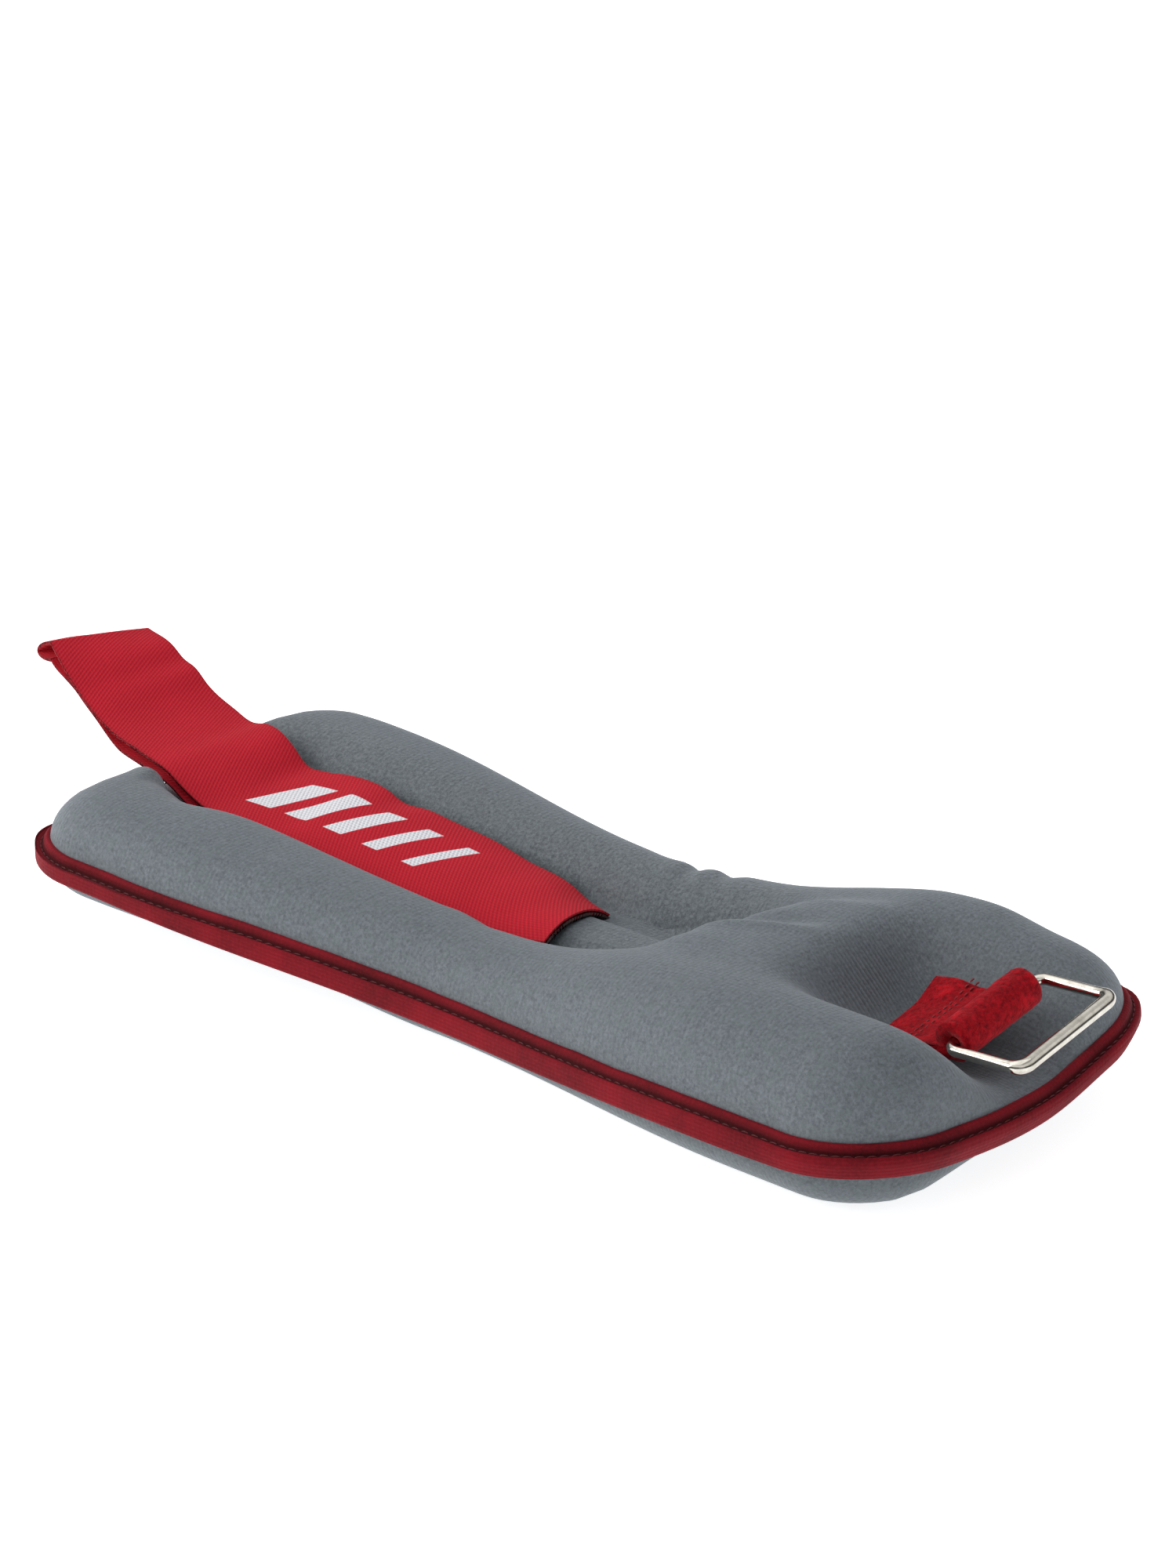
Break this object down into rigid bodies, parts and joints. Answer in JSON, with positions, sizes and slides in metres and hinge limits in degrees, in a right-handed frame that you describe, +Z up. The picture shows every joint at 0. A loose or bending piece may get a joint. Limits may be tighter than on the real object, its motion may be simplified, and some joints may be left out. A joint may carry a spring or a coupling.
{
  "type": "ankle cuff weight",
  "caption": "Open padded ankle weight with bound edge, folded hook-and-loop strap and a wire ring; it wraps into a cuff.",
  "frame": {"origin": "middle of the cuff's length and width on the flat patch of the inner face it rests on", "axes": "+X along the cuff to the ring end, +Z up through the outer face, +Y across the cuff"},
  "size_m": [0.4035, 0.14, 0.0553],
  "materials": {
    "neoprene_outer": "brushed jersey over foam rubber, matt with a soft sheen",
    "neoprene_inner": "jersey over foam rubber, matt",
    "edge_binding": "folded knitted tape, stitched",
    "pouch_cloth": "plain woven cloth filled with grains",
    "strap_webbing": "twill webbing with a flat white print",
    "hook_tape": "moulded hooks",
    "tab_webbing": "brushed loop webbing",
    "ring_plating": "nickel plated steel wire"
  },
  "bodies": {
    "cuff_middle": {"outer_cover_4": "neoprene_outer", "inner_cover_4": "neoprene_inner", "weight_bag_near_4": "pouch_cloth", "weight_bag_far_4": "pouch_cloth", "edge_binding_near_4": "edge_binding", "edge_binding_far_4": "edge_binding", "ridge_pad_4": "pouch_cloth"},
    "cuff_3": {"outer_cover_3": "neoprene_outer", "inner_cover_3": "neoprene_inner", "weight_bag_near_3": "pouch_cloth", "weight_bag_far_3": "pouch_cloth", "edge_binding_near_3": "edge_binding", "edge_binding_far_3": "edge_binding", "ridge_pad_3": "pouch_cloth"},
    "cuff_2": {"outer_cover_2": "neoprene_outer", "inner_cover_2": "neoprene_inner", "weight_bag_near_2": "pouch_cloth", "weight_bag_far_2": "pouch_cloth", "edge_binding_near_2": "edge_binding", "edge_binding_far_2": "edge_binding", "ridge_pad_2": "pouch_cloth"},
    "cuff_strap_end": {"outer_cover_1": "neoprene_outer", "inner_cover_1": "neoprene_inner", "weight_bag_near_1": "pouch_cloth", "weight_bag_far_1": "pouch_cloth", "edge_binding_strap_end": "edge_binding", "ridge_pad_1": "pouch_cloth", "strap_root": "strap_webbing"},
    "cuff_5": {"outer_cover_5": "neoprene_outer", "inner_cover_5": "neoprene_inner", "weight_bag_near_5": "pouch_cloth", "weight_bag_far_5": "pouch_cloth", "edge_binding_near_5": "edge_binding", "edge_binding_far_5": "edge_binding"},
    "cuff_6": {"outer_cover_6": "neoprene_outer", "inner_cover_6": "neoprene_inner", "weight_bag_near_6": "pouch_cloth", "weight_bag_far_6": "pouch_cloth", "edge_binding_near_6": "edge_binding", "edge_binding_far_6": "edge_binding", "weight_bag_centre_6": "pouch_cloth"},
    "cuff_ring_end": {"outer_cover_7": "neoprene_outer", "inner_cover_7": "neoprene_inner", "weight_bag_near_7": "pouch_cloth", "weight_bag_far_7": "pouch_cloth", "edge_binding_ring_end": "edge_binding", "ring_tab": "tab_webbing", "ring_tab_flap": "tab_webbing"},
    "strap_bridge": {"strap_bridge": "strap_webbing"},
    "strap_run_2": {"strap_run_2": "strap_webbing"},
    "strap_run_3": {"strap_run_3": "strap_webbing", "hook_patch_3": "hook_tape"},
    "strap_tip": {"strap_tip": "strap_webbing", "hook_patch_tip": "hook_tape"},
    "ring": {"ring": "ring_plating"}
  },
  "joints": [
    {"name": "wrap", "type": "hinge", "parent": "cuff_middle", "child": "cuff_3", "pos_m": [-0.02429, 0, 0.0138], "axis": [0, -1, 0], "range_deg": [0, 50]},
    {"name": "wrap_2", "type": "hinge", "parent": "cuff_3", "child": "cuff_2", "pos_m": [-0.07286, 0, 0.01675], "axis": [0, -1, 0], "range_deg": [0, 50]},
    {"name": "wrap_1", "type": "hinge", "parent": "cuff_2", "child": "cuff_strap_end", "pos_m": [-0.12143, 0, 0.01982], "axis": [0, -1, 0], "range_deg": [0, 50]},
    {"name": "wrap_5", "type": "hinge", "parent": "cuff_middle", "child": "cuff_5", "pos_m": [0.02429, 0, 0.01376], "axis": [0, 1, 0], "range_deg": [0, 50]},
    {"name": "wrap_6", "type": "hinge", "parent": "cuff_5", "child": "cuff_6", "pos_m": [0.07286, 0, 0.01641], "axis": [0, 1, 0], "range_deg": [0, 50]},
    {"name": "wrap_7", "type": "hinge", "parent": "cuff_6", "child": "cuff_ring_end", "pos_m": [0.12143, 0, 0.01918], "axis": [0, 1, 0], "range_deg": [0, 50]},
    {"name": "strap_unfold", "type": "hinge", "parent": "cuff_strap_end", "child": "strap_bridge", "pos_m": [-0.213, 0.02, 0.053], "axis": [-0.5549, -0.8319, 0], "range_deg": [0, 150]},
    {"name": "strap_curl_2", "type": "hinge", "parent": "strap_bridge", "child": "strap_run_2", "pos_m": [-0.12143, 0, 0.01982], "axis": [0, 1, 0], "range_deg": [0, 50]},
    {"name": "strap_curl_3", "type": "hinge", "parent": "strap_run_2", "child": "strap_run_3", "pos_m": [-0.07286, 0, 0.01675], "axis": [0, 1, 0], "range_deg": [0, 50]},
    {"name": "strap_curl_4", "type": "hinge", "parent": "strap_run_3", "child": "strap_tip", "pos_m": [-0.02429, 0, 0.0138], "axis": [0, 1, 0], "range_deg": [0, 50]},
    {"name": "ring_swivel", "type": "hinge", "parent": "cuff_ring_end", "child": "ring", "pos_m": [0.1516, 0.004, 0.0388], "axis": [0, -0.9833, -0.1822], "range_deg": [0, 120]}
  ],
  "couplings": [
    {"joint": "wrap_2", "follows": "wrap", "ratio": 1},
    {"joint": "wrap_1", "follows": "wrap", "ratio": 1},
    {"joint": "wrap_5", "follows": "wrap", "ratio": 1},
    {"joint": "wrap_6", "follows": "wrap", "ratio": 1},
    {"joint": "wrap_7", "follows": "wrap", "ratio": 1},
    {"joint": "strap_curl_2", "follows": "wrap", "ratio": 1},
    {"joint": "strap_curl_3", "follows": "wrap", "ratio": 1},
    {"joint": "strap_curl_4", "follows": "wrap", "ratio": 1}
  ]
}
